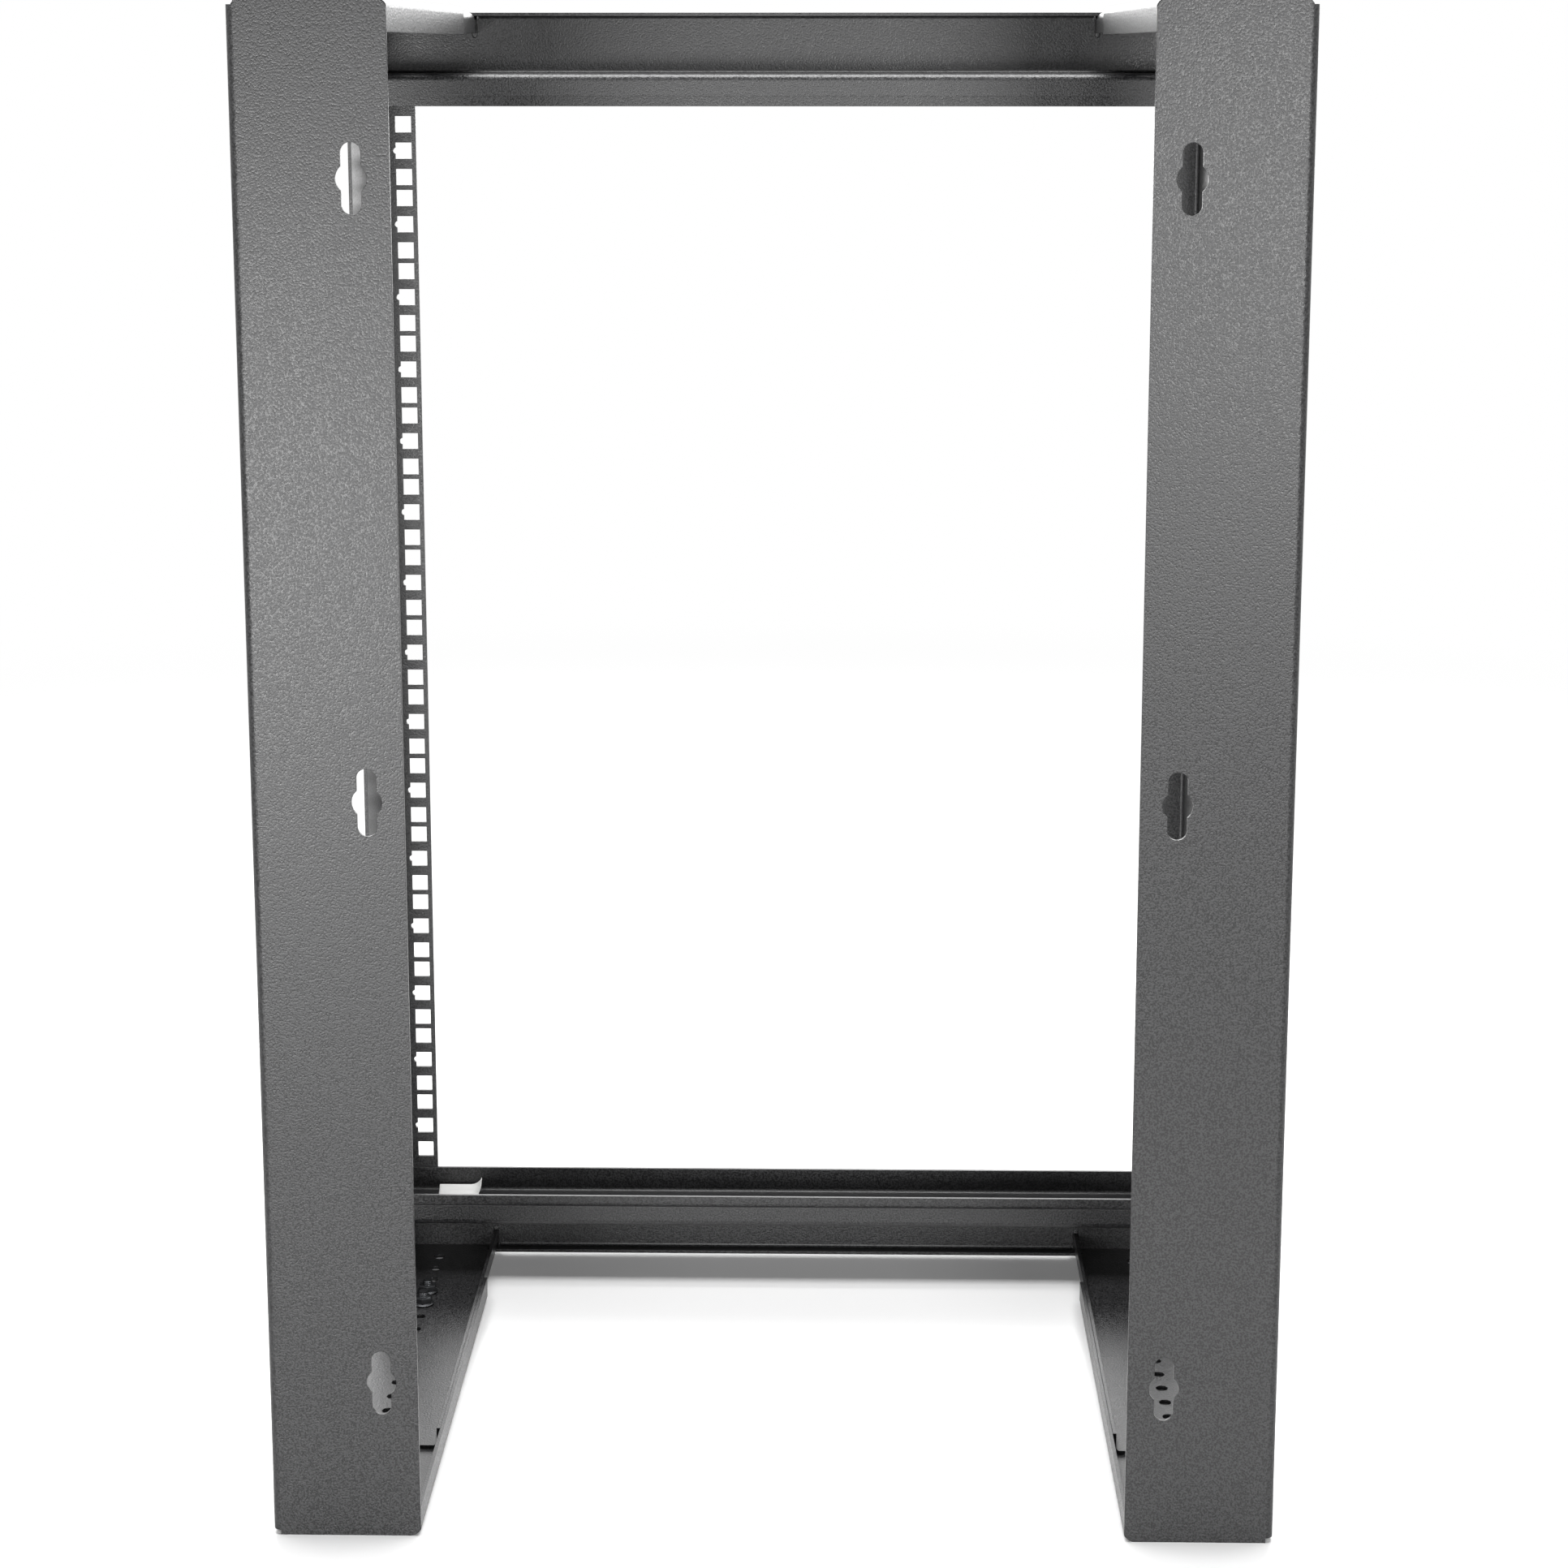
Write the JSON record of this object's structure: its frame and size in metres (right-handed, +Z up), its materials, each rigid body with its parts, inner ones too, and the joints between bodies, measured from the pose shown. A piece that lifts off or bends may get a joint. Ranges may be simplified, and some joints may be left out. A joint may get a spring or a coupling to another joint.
{
  "type": "open frame wall mount server rack with adjustable depth",
  "caption": "Open frame wall rack: two wide wall posts with keyhole slots, telescoping arms at the corners, and a front frame of square hole rails and crossbars.",
  "frame": {"origin": "on the floor, under the middle of the rack as set at rest", "axes": "+Z up, +Y towards the wall, -Y towards the equipment side, +X to the right seen from the equipment side"},
  "size_m": [0.524, 0.3956, 0.7915],
  "materials": {
    "powder_coat": "fine textured matt black powder coat",
    "zinc": "dark zinc plated"
  },
  "bodies": {
    "rear_frame": {"rear_post_left": "powder_coat", "rear_post_right": "powder_coat", "rear_arm_top_left": "powder_coat", "rear_arm_top_right": "powder_coat", "rear_arm_bottom_left": "powder_coat", "rear_arm_bottom_right": "powder_coat", "lock_nuts_top_left": "zinc", "lock_nuts_top_right": "zinc", "lock_nuts_bottom_left": "zinc", "lock_nuts_bottom_right": "zinc"},
    "front_frame": {"front_rail_left": "powder_coat", "front_rail_right": "powder_coat", "crossbar_top": "powder_coat", "crossbar_bottom": "powder_coat", "channel_top": "powder_coat", "channel_bottom": "powder_coat", "front_arm_top_left": "powder_coat", "front_arm_top_right": "powder_coat", "front_arm_bottom_left": "powder_coat", "front_arm_bottom_right": "powder_coat", "corner_bolts_top_left": "zinc", "corner_bolts_top_right": "zinc", "corner_bolts_bottom_left": "zinc", "corner_bolts_bottom_right": "zinc"}
  },
  "joints": [
    {"name": "depth_slide", "type": "slide", "parent": "rear_frame", "child": "front_frame", "axis": [0, -1, 0], "range_m": [-0.05715, 0.1143]}
  ]
}
